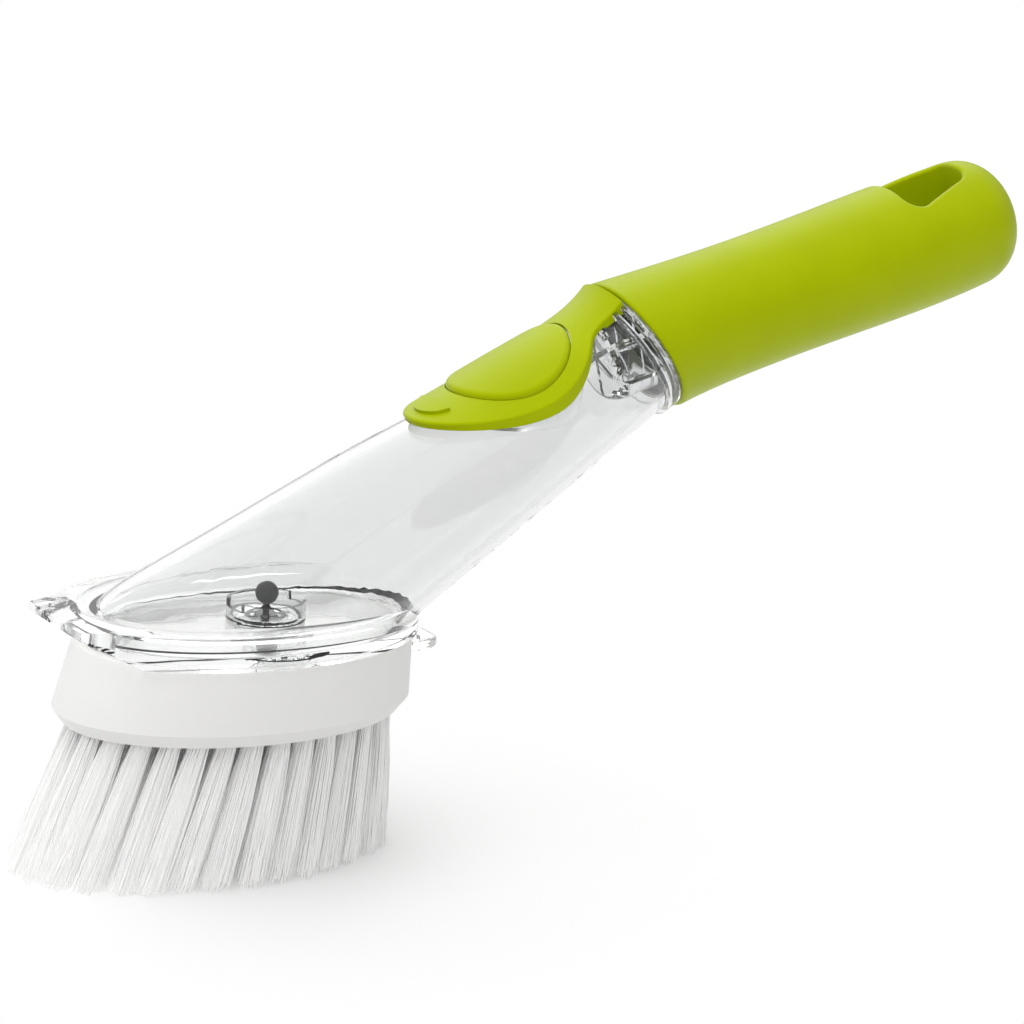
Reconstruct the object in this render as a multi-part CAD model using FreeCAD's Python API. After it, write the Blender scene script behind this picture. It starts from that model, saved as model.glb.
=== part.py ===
"""A soap-dispensing dish wand: clear reservoir, filler lid with a pump button, clip-on brush and soft grip.

Millimetres. +X runs from the scraper to the end of the grip, +Z is up and the wand is symmetric about Y = 0.
The origin is the middle of the brush face, where the bristle tips meet the worktop.
"""

import FreeCAD
import Part

import math
import os

from FreeCAD import Placement, Rotation
from FreeCAD import Vector as V

# Brush block, a white shell whose plate holds the tufts
BRISTLE_LENGTH = 35.0
BLOCK_HEIGHT = 19.0
BLOCK_FRONT = 40.5
BLOCK_REAR = 44.0
BLOCK_HALF_WIDTH = 29.5
BLOCK_NOSE_FLARE = 5.0
BLOCK_CHAMFER_WIDTH = 2.6
BLOCK_CHAMFER_HEIGHT = 3.5
BLOCK_WALL = 2.2
BLOCK_PLATE = 12.0
BLOCK_EDGE_ROUND = 0.5

# Bristle tufts, set in rings, with a staple anchor behind each
TUFT_ROOT_RADIUS = 2.0
TUFT_DEPTH = 3.6
TUFT_PITCH = 6.5
TUFT_EDGE_MARGIN = 3.9
TUFT_INNER_HALF_WIDTH = 3.5
TUFT_TIP_GAP = 0.75
TUFT_NOSE_REACH = 14.0
TUFT_HOLE_CLEARANCE = 0.06
TUFT_RINGS = ("tufts_outer", "tufts_second", "tufts_third", "tufts_inner")
ANCHOR_LENGTH = 3.0
ANCHOR_THICKNESS = 0.4
ANCHOR_HEIGHT = 1.2

# Head tray, the clear foot of the wand, with its scraper
TRAY_HEIGHT = 8.0
TRAY_OVERHANG = 1.3
TRAY_FRONT = 47.0
TRAY_FLOOR = 2.8
TRAY_RIM = 2.2
SCRAPER_REACH = 47.6
SCRAPER_HALF_WIDTH = 13.5
SCRAPER_ROOT = 40.0
SCRAPER_EDGE = 2.0
BOW_START = 35.0
SPIGOT_DROP = 6.0
SPIGOT_WALL = 1.8
SEAT_GAP = 0.2
SLIDE_GAP = 0.4

# Dispensing valve and its housing
VALVE_X = 6.9
HOUSING_RADIUS = 7.6
HOUSING_FLANGE = 1.8
HOUSING_FLANGE_HEIGHT = 1.2
HOUSING_FENCE_HEIGHT = 3.4
HOUSING_FENCE_WALL = 1.0
HOUSING_WALL = 1.2
HOUSING_CUP_DROP = 3.5
VALVE_SEAT_HEIGHT = 1.4
NOZZLE_RADIUS = 3.6
NOZZLE_BORE = 2.4
NOZZLE_INSET = 1.0
SOAP_PORT_COUNT = 6
SOAP_PORT_RADIUS = 0.9
SOAP_PORT_CIRCLE = 3.2
VALVE_DISC_RADIUS = 5.0
VALVE_DISC_HEIGHT = 0.8
VALVE_STEM_RADIUS = 0.8
VALVE_BARB_RADIUS = 1.3
VALVE_BARB_HEIGHT = 0.9
VALVE_BARB_LIFT = 0.9
VALVE_BULB_RADIUS = 2.75
VALVE_TAIL = 4.9
RUNNING_CLEARANCE = 0.05

# Reservoir, a clear flared tube from the tray to the neck
FOOT_FRONT = 39.0
FOOT_REAR = 45.5
FOOT_HALF_WIDTH = 25.0
FOOT_RISE = 11.0
NECK_X = 104.0
NECK_HEIGHT = 62.7
NECK_ANGLE = 34.6
NECK_RADIUS = 16.2
NECK_SIDE_EASE = 0.2
TOP_LINE_ANGLE = 31.5
TOP_LINE_RUN = 88.0
RESERVOIR_WALL = 1.8
RESERVOIR_STATIONS = (0.0, 0.12, 0.3, 0.5, 0.7, 0.8, 0.9, 1.0)
DECK_THICKNESS = 2.0
WELD_GAP = 0.1
NECK_END_WALL = 2.0
COLLAR_RADIUS = 17.7
COLLAR_WIDTH = 1.3
COLLAR_STEP = 2.6
COLLAR_COUNT = 2
NECK_SPIGOT_RADIUS = 13.4
NECK_SPIGOT_LENGTH = 17.0
NECK_BORE_RADIUS = 11.6

# Neck plug with its ring seal
PLUG_NOSE = 11.0
PLUG_TAIL = 15.0
PLUG_BORE = 9.4
PLUG_NOSE_ROUND = 4.0
PLUG_RIB_COUNT = 3
PLUG_RIB_THICKNESS = 1.2
RING_SECTION = 0.6
RING_SQUEEZE_GAP = 0.02
RING_PLACE = 6.0
NECK_SEAL_THICKNESS = 0.8
NECK_SEAL_RADIUS = 17.0

# Filler lid, its strap and the pump button
LID_ANGLE = 28.5
LID_GAP = 0.8
LID_THICKNESS = 1.8
LID_CENTRE = 30.5
LID_FRONT = 28.5
LID_REAR = 23.2
LID_HALF_WIDTH = 17.2
LID_SEAT_DIP = 2.2
LID_SEAT_RUN = 73.9
LID_EDGE_ROUND = 0.7
LID_SPLIT_GAP = 0.2
STRAP_HALF_WIDTH = 8.7
STRAP_BLEND = 8.0
STRAP_LENGTH = 6.5
LIFT_LIP_INSET = 3.0
LIFT_LIP_LENGTH = 5.2
LIFT_LIP_HALF_WIDTH = 6.4
LIFT_LIP_HEIGHT = 0.8
BUTTON_FRONT = 15.5
BUTTON_REAR = 17.0
BUTTON_HALF_WIDTH = 14.3
BUTTON_RISE = 1.0
BUTTON_SEAT = 1.8
BUTTON_CLEARANCE = 0.2
BUTTON_EDGE_ROUND = 1.6
SKIRT_WALL = 1.4
SKIRT_DEPTH = 0.8
PORT_HALF_LENGTH = 12.0
PORT_HALF_WIDTH = 9.5
PORT_CLEARANCE = 0.3
PORT_SEAL_THICKNESS = 0.7
PORT_SEAL_GAP = 0.5
PORT_SEAL_SETBACK = 5.0
PORT_SEAL_PROUD = 0.8
PRISM_DEPTH = 16.0
PRISM_RISE = 9.0

# Release latch behind the brush
LATCH_HALF_WIDTH = 6.0
LATCH_ARM = 1.8
LATCH_ARM_DROP = 7.5
LATCH_PIVOT_INSET = 1.4
LATCH_PIVOT_RISE = 0.9
LATCH_LUG_RADIUS = 0.8
LATCH_PIN_RADIUS = 0.6
LATCH_PIN_REACH = 1.6
LATCH_WEB = 1.2
LATCH_TAB_REACH = 6.5
LATCH_TAB_THICKNESS = 2.6
LATCH_TAB_ROUND = 1.0
LATCH_KEY_DEPTH = 0.9
LATCH_KEY_HALF_WIDTH = 2.0
LATCH_GAP = 0.3

# Grip with its hanging hole, moulded over a rigid core
GRIP_ANGLE = 15.0
GRIP_LENGTH = 112.2
GRIP_RIM_RADIUS = 18.5
GRIP_WAIST_RADIUS = 16.4
GRIP_WAIST_PLACE = 28.0
GRIP_BELLY_RADIUS = 16.8
GRIP_BELLY_FROM_END = 24.2
GRIP_END_RADIUS = 15.2
GRIP_END_ROUND = 11.0
GRIP_RIM_ROUND = 0.8
GRIP_WALL = 1.1
GRIP_SKIN = 1.2
CORE_START = 8.0
CORE_END_GAP = 20.4
CORE_WALL = 0.8
CORE_CAP = 1.2
HANG_END_MARGIN = 11.7
HANG_LENGTH = 21.0
HANG_HALF_WIDTH = 11.3
HANG_TIP_HALF_WIDTH = 7.4
HANG_FOOT_HALF_WIDTH = 4.4
HANG_FOOT_INSET = 3.0
HANG_CORNER_ROUND = 4.0
HANG_EDGE_ROUND = 1.0

# Values worked out from those above
BLOCK_TOP = BRISTLE_LENGTH + BLOCK_HEIGHT
PLATE_TOP = BRISTLE_LENGTH + BLOCK_PLATE
TRAY_BOTTOM = BLOCK_TOP + SEAT_GAP
FLOOR_TOP = TRAY_BOTTOM + TRAY_FLOOR
DECK_TOP = TRAY_BOTTOM + TRAY_HEIGHT
TRAY_REAR = BLOCK_REAR + TRAY_OVERHANG
TRAY_HALF_WIDTH = BLOCK_HALF_WIDTH + TRAY_OVERHANG
TUFT_ROW_HALF_WIDTH = BLOCK_HALF_WIDTH - BLOCK_CHAMFER_WIDTH - TUFT_EDGE_MARGIN
TUFT_RING_STEP = (TUFT_ROW_HALF_WIDTH - TUFT_INNER_HALF_WIDTH) / (len(TUFT_RINGS) - 1)
TUFT_TIP_RADIUS = min(TUFT_PITCH, TUFT_RING_STEP) / 2 - TUFT_TIP_GAP
HANG_BASE = GRIP_LENGTH - HANG_END_MARGIN - HANG_LENGTH
CORE_END = HANG_BASE - GRIP_WALL - CORE_END_GAP
CORE_SEAT_RADIUS = min(GRIP_WAIST_RADIUS, GRIP_BELLY_RADIUS) - GRIP_SKIN
GRIP_BELLY_PLACE = GRIP_LENGTH - GRIP_BELLY_FROM_END
FAR = 400.0
UP = V(0, 0, 1)
ACROSS = V(0, 1, 0)


def heading(pitch):
    """Unit vector in the XZ plane that climbs at a pitch in degrees."""
    return V(math.cos(math.radians(pitch)), 0, math.sin(math.radians(pitch)))


def standing(pitch):
    """Unit vector in the XZ plane square to that heading, on its upper side."""
    return V(-math.sin(math.radians(pitch)), 0, math.cos(math.radians(pitch)))


NECK = V(NECK_X, 0, BLOCK_TOP + NECK_HEIGHT)
NECK_TOP = NECK + standing(NECK_ANGLE) * NECK_RADIUS
NECK_BOTTOM = NECK - standing(NECK_ANGLE) * NECK_RADIUS
LATCH_PIVOT = V(BLOCK_REAR - LATCH_PIVOT_INSET, 0, TRAY_BOTTOM + LATCH_PIVOT_RISE)


def placed(shape, origin, pitch):
    """A shape drawn flat, moved so that its X axis starts at origin and climbs at pitch."""
    shape.Placement = Placement(origin, Rotation(ACROSS, -pitch))
    return shape


def in_grip(shape):
    return placed(shape, NECK, GRIP_ANGLE)


def in_lid(shape):
    return placed(shape, NECK_TOP, LID_ANGLE)


def beyond(origin, normal):
    """Everything past a plane, as a large block."""
    block = Part.makeBox(FAR, FAR, FAR, V(-FAR / 2, -FAR / 2, 0))
    block.Placement = Placement(origin, Rotation(UP, normal))
    return block


def oval_wire(front, rear, half_width, z=0.0, centre=0.0):
    """Two half ellipses that meet at the widest place."""
    middle = V(centre, 0, z)
    stern = Part.ArcOfEllipse(Part.Ellipse(middle, rear, half_width), -math.pi / 2, math.pi / 2)
    bow = Part.ArcOfEllipse(Part.Ellipse(middle, front, half_width), math.pi / 2, 3 * math.pi / 2)
    return Part.Wire([stern.toShape(), bow.toShape()])


def oval_prism(front, rear, half_width, low, high, centre=0.0):
    face = Part.Face(oval_wire(front, rear, half_width, low, centre))
    return face.extrude(V(0, 0, high - low))


def tube_ring(outer, inner, low, high, centre):
    """An upright round wall."""
    wall = Part.makeCylinder(outer, high - low, V(centre, 0, low))
    return wall.cut(Part.makeCylinder(inner, high - low, V(centre, 0, low)))


def axial(radius, start, end):
    """A round bar along X, from start to end, for placing along an axis."""
    return Part.makeCylinder(radius, end - start, V(start, 0, 0), V(1, 0, 0))


def edges_where(shape, wanted):
    return [edge for edge in shape.Edges if wanted(edge)]


def seat_dip(t):
    """How far the crest sinks along the lid's seat, from nothing at its ends."""
    share = max(1 - (1 - t) * 3 * TOP_LINE_RUN / LID_SEAT_RUN, 0.0)
    return LID_SEAT_DIP * math.sin(math.pi * share) ** 2


def top_line(t):
    """The reservoir's crest: straight up off the foot, then a long slope to the neck past the lid's seat."""
    start = V(-FOOT_FRONT, 0, FLOOR_TOP)
    points = (start, start + UP * FOOT_RISE, NECK_TOP - heading(TOP_LINE_ANGLE) * TOP_LINE_RUN, NECK_TOP)
    weights = ((1 - t) ** 3, 3 * t * (1 - t) ** 2, 3 * t * t * (1 - t), t ** 3)
    place = standing(LID_ANGLE) * -seat_dip(t)
    for point, weight in zip(points, weights):
        place = place + point * weight
    return place


def bottom_line(t):
    """The reservoir's underside: straight from the rear of the foot to the neck."""
    ease = t ** 1.4
    return V(FOOT_REAR, 0, FLOOR_TOP) * (1 - ease) + NECK_BOTTOM * ease


def slant(line, t, across):
    """How squarely the line crosses a section, as the sine of the angle between them."""
    step = 0.01
    ahead, behind = min(t + step, 1.0), max(t - step, 0.0)
    along = (line(ahead) - line(behind)).normalize()
    return along.cross(across).Length


def oval_section(bottom, middle, half_width):
    """An ellipse half_width across that passes through bottom, where its seam lies."""
    ends = [bottom, middle + ACROSS * half_width]
    ends.sort(key=lambda end: -end.distanceToPoint(middle))
    ellipse = Part.Ellipse(ends[0], ends[1], middle)
    start = ellipse.parameter(bottom)
    return Part.Wire(ellipse.toBSpline(start, start + math.tau).toShape())


def reservoir_form(offset):
    """The reservoir's outer form, grown by offset, or shrunk where offset is negative."""
    sections = []
    for t in RESERVOIR_STATIONS:
        across = (top_line(t) - bottom_line(t)).normalize()
        top = top_line(t) + across * (offset / slant(top_line, t, across))
        bottom = bottom_line(t) - across * (offset / slant(bottom_line, t, across))
        middle = (top + bottom) * 0.5
        half_width = FOOT_HALF_WIDTH + (NECK_RADIUS - NECK_SIDE_EASE - FOOT_HALF_WIDTH) * t * t + offset
        sections.append(oval_section(bottom, middle, half_width))
    return Part.makeLoft(sections, True, False)


def lid_oval(front, rear, half_width):
    """An oval about the lid's middle, drawn flat, as a bar through the reservoir's crest."""
    return oval_prism(front, rear, half_width, -PRISM_DEPTH, PRISM_RISE, -LID_CENTRE)


def button_prism(grow):
    """The pump button's outline, grown by a margin."""
    return in_lid(lid_oval(BUTTON_FRONT + grow, BUTTON_REAR + grow, BUTTON_HALF_WIDTH + grow))


def port_prism(grow):
    """The filler port's outline, grown by a margin."""
    half_length = PORT_HALF_LENGTH + grow
    return in_lid(lid_oval(half_length, half_length, PORT_HALF_WIDTH + grow))


def leaf_prism(grow):
    """The lid's leaf outline, grown by a margin, with its strap running on past the neck."""
    leaf = lid_oval(LID_FRONT + grow, LID_REAR + grow, LID_HALF_WIDTH + grow)
    strap = Part.makeBox(LID_CENTRE + FAR / 4, 2 * (STRAP_HALF_WIDTH + grow), PRISM_DEPTH + PRISM_RISE,
                         V(-LID_CENTRE, -STRAP_HALF_WIDTH - grow, -PRISM_DEPTH))
    whole = leaf.fuse(strap).removeSplitter()
    inside_corners = edges_where(whole, lambda edge: is_upright(edge) and edge.Vertexes[0].X > -LID_CENTRE
                                 and edge.Vertexes[0].X < 0)
    return in_lid(whole.makeFillet(STRAP_BLEND, inside_corners))


def is_upright(edge):
    """True for a straight edge along Z, or nearly so."""
    run = edge.Vertexes[-1].Point - edge.Vertexes[0].Point
    return abs(run.z) > 0.9 * edge.Length


def make_tuft_places():
    """Root and tip of every tuft, ring by ring, the nose tufts raked forward."""
    rings = []
    front = BLOCK_FRONT + BLOCK_NOSE_FLARE - BLOCK_CHAMFER_WIDTH - TUFT_EDGE_MARGIN
    rear = BLOCK_REAR - BLOCK_CHAMFER_WIDTH - TUFT_EDGE_MARGIN
    for number in range(len(TUFT_RINGS)):
        inward = number * TUFT_RING_STEP
        ring = oval_wire(front - inward, rear - inward, TUFT_ROW_HALF_WIDTH - inward, BRISTLE_LENGTH)
        count = int(ring.Length / TUFT_PITCH)
        places = []
        for root in ring.discretize(count + 1)[:-1]:
            rake = TUFT_NOSE_REACH * (rear - root.x) / (rear + front)
            tip = V(root.x - rake, root.y, 0)
            clear = math.hypot(root.x - VALVE_X, root.y) - NOZZLE_RADIUS - SLIDE_GAP
            if clear > TUFT_ROOT_RADIUS + BLOCK_WALL / 2:
                places.append((root, tip))
        rings.append(places)
    return rings


def tuft_cone(root, tip, depth, grow):
    """A tuft's tapered bundle from depth inside the plate to past its tip."""
    along = (tip - root).normalize()
    start = root - along * depth
    length = depth + (tip - root).Length + TUFT_TIP_RADIUS
    taper = (TUFT_TIP_RADIUS - TUFT_ROOT_RADIUS) / (tip - root).Length
    root_radius = TUFT_ROOT_RADIUS - taper * depth + grow
    tip_radius = TUFT_TIP_RADIUS + taper * TUFT_TIP_RADIUS + grow
    return Part.makeCone(root_radius, tip_radius, length, start, along)


def make_tuft(root, tip):
    below = Part.makeBox(FAR, FAR, FAR, V(-FAR / 2, -FAR / 2, -FAR))
    return tuft_cone(root, tip, TUFT_DEPTH, 0.0).cut(below)


def make_anchor(root, tip):
    """The staple plate that pins a tuft's fold, above the tuft in its hole."""
    along = (root - tip).normalize()
    plate = Part.makeBox(ANCHOR_THICKNESS, ANCHOR_LENGTH, ANCHOR_HEIGHT,
                         V(-ANCHOR_THICKNESS / 2, -ANCHOR_LENGTH / 2, TUFT_DEPTH))
    plate.Placement = Placement(root, Rotation(UP, along))
    return plate


def make_brush_block(rings):
    """Flared band with a chamfered foot, open above for the tray's spigot."""
    waist = BRISTLE_LENGTH + BLOCK_CHAMFER_HEIGHT
    nose = BLOCK_FRONT + BLOCK_NOSE_FLARE
    top = oval_wire(BLOCK_FRONT, BLOCK_REAR, BLOCK_HALF_WIDTH, BLOCK_TOP)
    widest = oval_wire(nose, BLOCK_REAR, BLOCK_HALF_WIDTH, waist)
    foot = oval_wire(nose - BLOCK_CHAMFER_WIDTH, BLOCK_REAR - BLOCK_CHAMFER_WIDTH,
                     BLOCK_HALF_WIDTH - BLOCK_CHAMFER_WIDTH, BRISTLE_LENGTH)
    block = Part.makeLoft([top, widest], True, True).fuse(Part.makeLoft([widest, foot], True, True))
    rims = edges_where(block, lambda edge: edge.BoundBox.ZMin > BLOCK_TOP - 0.1
                       or edge.BoundBox.ZMax < BRISTLE_LENGTH + 0.1)
    block = block.makeFillet(BLOCK_EDGE_ROUND, rims)
    block = block.cut(oval_prism(BLOCK_FRONT - BLOCK_WALL, BLOCK_REAR - BLOCK_WALL,
                                 BLOCK_HALF_WIDTH - BLOCK_WALL, PLATE_TOP, BLOCK_TOP + 1))
    holes = [tuft_cone(root, tip, TUFT_DEPTH + ANCHOR_HEIGHT, TUFT_HOLE_CLEARANCE)
             for places in rings for root, tip in places]
    soap_hole = Part.makeCylinder(NOZZLE_RADIUS + SLIDE_GAP, BLOCK_PLATE, V(VALVE_X, 0, BRISTLE_LENGTH))
    groove_half_width = LATCH_KEY_HALF_WIDTH + SLIDE_GAP
    groove_low = TRAY_BOTTOM - LATCH_ARM_DROP - SLIDE_GAP
    groove = Part.makeBox(LATCH_KEY_DEPTH + SLIDE_GAP, 2 * groove_half_width, BLOCK_HEIGHT,
                          V(BLOCK_REAR - LATCH_KEY_DEPTH, -groove_half_width, groove_low))
    return block.cut(Part.makeCompound(holes + [soap_hole, groove]))


def scraper_outline(z):
    """Tray outline: the oval, with a straight scraping edge across its front."""
    width_at_root = TRAY_HALF_WIDTH * math.sqrt(1 - (SCRAPER_ROOT / TRAY_FRONT) ** 2)
    turn = math.acos(-SCRAPER_ROOT / TRAY_FRONT)
    middle = V(0, 0, z)
    stern = Part.ArcOfEllipse(Part.Ellipse(middle, TRAY_REAR, TRAY_HALF_WIDTH), -math.pi / 2, math.pi / 2)
    far_side = Part.ArcOfEllipse(Part.Ellipse(middle, TRAY_FRONT, TRAY_HALF_WIDTH), math.pi / 2, turn)
    near_side = Part.ArcOfEllipse(Part.Ellipse(middle, TRAY_FRONT, TRAY_HALF_WIDTH), 2 * math.pi - turn,
                                  3 * math.pi / 2)
    far_root, near_root = V(-SCRAPER_ROOT, width_at_root, z), V(-SCRAPER_ROOT, -width_at_root, z)
    far_corner = V(-SCRAPER_REACH, SCRAPER_HALF_WIDTH, z)
    near_corner = V(-SCRAPER_REACH, -SCRAPER_HALF_WIDTH, z)
    return Part.Wire([stern.toShape(), far_side.toShape(), Part.makeLine(far_root, far_corner),
                      Part.makeLine(far_corner, near_corner), Part.makeLine(near_corner, near_root),
                      near_side.toShape()])


def make_head_tray(reservoir_seat):
    """Clear tray: floor, rim, scraper bow, the spigot for the brush and the slot for the latch."""
    tray = Part.Face(scraper_outline(TRAY_BOTTOM)).extrude(V(0, 0, TRAY_HEIGHT))
    lift = (TRAY_HEIGHT - SCRAPER_EDGE) / (SCRAPER_REACH - BOW_START)
    reach = SCRAPER_REACH + TRAY_HEIGHT
    profile = Part.makePolygon([V(-BOW_START, -FAR / 2, TRAY_BOTTOM), V(-reach, -FAR / 2, TRAY_BOTTOM),
                                V(-reach, -FAR / 2, TRAY_BOTTOM + lift * (reach - BOW_START)),
                                V(-BOW_START, -FAR / 2, TRAY_BOTTOM)])
    tray = tray.cut(Part.Face(profile).extrude(V(0, FAR, 0)))
    tray = tray.cut(oval_prism(SCRAPER_ROOT, TRAY_REAR - TRAY_RIM, TRAY_HALF_WIDTH - TRAY_RIM,
                               FLOOR_TOP, DECK_TOP))
    gap = BLOCK_WALL + SLIDE_GAP
    spigot = oval_prism(BLOCK_FRONT - gap, BLOCK_REAR - gap, BLOCK_HALF_WIDTH - gap,
                        TRAY_BOTTOM - SPIGOT_DROP, TRAY_BOTTOM)
    gap = gap + SPIGOT_WALL
    spigot = spigot.cut(oval_prism(BLOCK_FRONT - gap, BLOCK_REAR - gap, BLOCK_HALF_WIDTH - gap,
                                   TRAY_BOTTOM - SPIGOT_DROP, TRAY_BOTTOM))
    bow = beyond(V(-BOW_START, 0, TRAY_BOTTOM), V(-1, 0, 0))
    tray = tray.fuse(spigot.cut(bow))
    housing_hole = Part.makeCylinder(HOUSING_RADIUS + RUNNING_CLEARANCE, TRAY_FLOOR,
                                     V(VALVE_X, 0, TRAY_BOTTOM))
    tray = tray.cut(housing_hole)
    slot_half_width = LATCH_HALF_WIDTH + LATCH_GAP
    slot_depth = LATCH_LUG_RADIUS + LATCH_GAP
    slot = Part.makeBox(FAR, 2 * slot_half_width, LATCH_PIVOT_RISE + slot_depth,
                        LATCH_PIVOT - V(slot_depth, slot_half_width, LATCH_PIVOT_RISE))
    pin_hole = latch_bar(LATCH_PIN_RADIUS + RUNNING_CLEARANCE, LATCH_HALF_WIDTH + LATCH_PIN_REACH + LATCH_GAP)
    return tray.cut(slot).cut(pin_hole).cut(reservoir_seat)


def latch_bar(radius, half_length):
    """A round bar along the latch's pivot."""
    return Part.makeCylinder(radius, 2 * half_length, LATCH_PIVOT - ACROSS * half_length, ACROSS)


def make_release_latch():
    """Spring lever behind the brush, with a thumb tab and a key that runs in the block's groove."""
    face = BLOCK_REAR + LATCH_GAP
    low = TRAY_BOTTOM - LATCH_ARM_DROP
    web_top = LATCH_PIVOT.z + LATCH_WEB / 3
    arm = Part.makeBox(LATCH_ARM, 2 * LATCH_HALF_WIDTH, web_top - low, V(face, -LATCH_HALF_WIDTH, low))
    web = Part.makeBox(face + LATCH_ARM - LATCH_PIVOT.x, 2 * LATCH_HALF_WIDTH, LATCH_WEB,
                       V(LATCH_PIVOT.x, -LATCH_HALF_WIDTH, web_top - LATCH_WEB))
    root = latch_bar(LATCH_LUG_RADIUS, LATCH_HALF_WIDTH)
    pins = latch_bar(LATCH_PIN_RADIUS, LATCH_HALF_WIDTH + LATCH_PIN_REACH)
    tab = Part.makeBox(LATCH_TAB_REACH + LATCH_ARM, 2 * LATCH_HALF_WIDTH, LATCH_TAB_THICKNESS,
                       V(face, -LATCH_HALF_WIDTH, low))
    outer_corners = edges_where(tab, lambda edge: is_upright(edge) and edge.Vertexes[0].X > face + LATCH_ARM)
    tab = tab.makeFillet(LATCH_HALF_WIDTH * 0.7, outer_corners)
    rims = edges_where(tab, lambda edge: edge.BoundBox.ZLength < 0.01
                       and edge.BoundBox.XMax > face + LATCH_ARM)
    tab = tab.makeFillet(LATCH_TAB_ROUND, rims)
    key = Part.makeBox(LATCH_KEY_DEPTH, 2 * LATCH_KEY_HALF_WIDTH, LATCH_TAB_THICKNESS,
                       V(face - LATCH_KEY_DEPTH, -LATCH_KEY_HALF_WIDTH, low))
    return arm.fuse([web, root, pins, tab, key]).removeSplitter()


def make_valve_housing():
    """Clear cup through the tray floor: flange and fence above, valve seat inside, nozzle below."""
    cup_bottom = TRAY_BOTTOM - HOUSING_CUP_DROP
    flange_top = FLOOR_TOP + HOUSING_FLANGE_HEIGHT
    rim = HOUSING_RADIUS + HOUSING_FLANGE
    axis = V(VALVE_X, 0, 0)
    body = Part.makeCylinder(HOUSING_RADIUS, flange_top - cup_bottom, axis + UP * cup_bottom)
    body = body.fuse(Part.makeCylinder(rim, HOUSING_FLANGE_HEIGHT, axis + UP * FLOOR_TOP))
    fence_top = flange_top + HOUSING_FENCE_HEIGHT
    body = body.fuse(tube_ring(rim, rim - HOUSING_FENCE_WALL, flange_top, fence_top, VALVE_X))
    nozzle_bottom = BRISTLE_LENGTH + NOZZLE_INSET
    nozzle = Part.makeCylinder(NOZZLE_RADIUS, cup_bottom - nozzle_bottom, axis + UP * nozzle_bottom)
    body = body.fuse(nozzle)
    seat_bottom = flange_top - VALVE_SEAT_HEIGHT
    chamber_bottom = cup_bottom + HOUSING_WALL
    chamber = Part.makeCylinder(HOUSING_RADIUS - HOUSING_WALL, seat_bottom - chamber_bottom,
                                axis + UP * chamber_bottom)
    bore = Part.makeCylinder(NOZZLE_BORE, seat_bottom - BRISTLE_LENGTH, axis + UP * BRISTLE_LENGTH)
    stem_hole = Part.makeCylinder(VALVE_STEM_RADIUS + RUNNING_CLEARANCE, VALVE_SEAT_HEIGHT,
                                  axis + UP * seat_bottom)
    ports = []
    for number in range(SOAP_PORT_COUNT):
        place = Rotation(UP, 360.0 * number / SOAP_PORT_COUNT).multVec(V(SOAP_PORT_CIRCLE, 0, seat_bottom))
        ports.append(Part.makeCylinder(SOAP_PORT_RADIUS, VALVE_SEAT_HEIGHT, axis + place))
    windows = Part.makeBox(FAR, HOUSING_RADIUS, HOUSING_FENCE_HEIGHT,
                           V(-FAR / 2, -HOUSING_RADIUS / 2, flange_top + HOUSING_FENCE_HEIGHT / 2))
    return body.cut(Part.makeCompound([chamber, bore, stem_hole] + ports)).cut(windows)


def make_dispensing_valve():
    """Black umbrella valve: disc under the seat, barb above it and a tail with a round end."""
    seat_top = FLOOR_TOP + HOUSING_FLANGE_HEIGHT
    seat_bottom = seat_top - VALVE_SEAT_HEIGHT
    axis = V(VALVE_X, 0, 0)
    disc = Part.makeCone(VALVE_DISC_RADIUS - VALVE_DISC_HEIGHT, VALVE_DISC_RADIUS, VALVE_DISC_HEIGHT,
                         axis + UP * (seat_bottom - VALVE_DISC_HEIGHT))
    barb_bottom = seat_top + VALVE_BARB_LIFT
    bulb_middle = seat_top + VALVE_TAIL
    stem = Part.makeCylinder(VALVE_STEM_RADIUS, bulb_middle - seat_bottom, axis + UP * seat_bottom)
    barb = Part.makeCone(VALVE_BARB_RADIUS, VALVE_STEM_RADIUS, VALVE_BARB_HEIGHT, axis + UP * barb_bottom)
    bulb = Part.makeSphere(VALVE_BULB_RADIUS, axis + UP * bulb_middle)
    return disc.fuse([stem, barb, bulb])


def make_reservoir_body(outer):
    """Clear flared tube with its deck, filler port, neck rings and the spigot for the grip."""
    before_end = beyond(NECK - heading(NECK_ANGLE) * NECK_END_WALL, heading(NECK_ANGLE))
    cavity = reservoir_form(-RESERVOIR_WALL).cut(before_end)
    deck = oval_prism(SCRAPER_ROOT - WELD_GAP, TRAY_REAR - TRAY_RIM - WELD_GAP,
                      TRAY_HALF_WIDTH - TRAY_RIM - WELD_GAP, DECK_TOP - DECK_THICKNESS, DECK_TOP)
    body = outer.fuse(deck)
    neck_angle = GRIP_ANGLE - NECK_ANGLE
    rings = []
    for number in range(COLLAR_COUNT):
        start = -COLLAR_WIDTH - number * COLLAR_STEP
        rings.append(placed(axial(COLLAR_RADIUS, start, start + COLLAR_WIDTH), NECK, NECK_ANGLE))
    strap_way = leaf_prism(LID_SPLIT_GAP)
    collar = rings[0].fuse(rings[1:]).cut(strap_way)
    setback = NECK_SPIGOT_RADIUS * math.tan(math.radians(abs(neck_angle)))
    spigot = in_grip(axial(NECK_SPIGOT_RADIUS, -setback, NECK_SPIGOT_LENGTH))
    body = body.fuse([collar, spigot]).cut(cavity)
    bore = in_grip(axial(NECK_BORE_RADIUS, -PLUG_NOSE, NECK_SPIGOT_LENGTH))
    return body.cut(bore).cut(port_prism(0.0))


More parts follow.
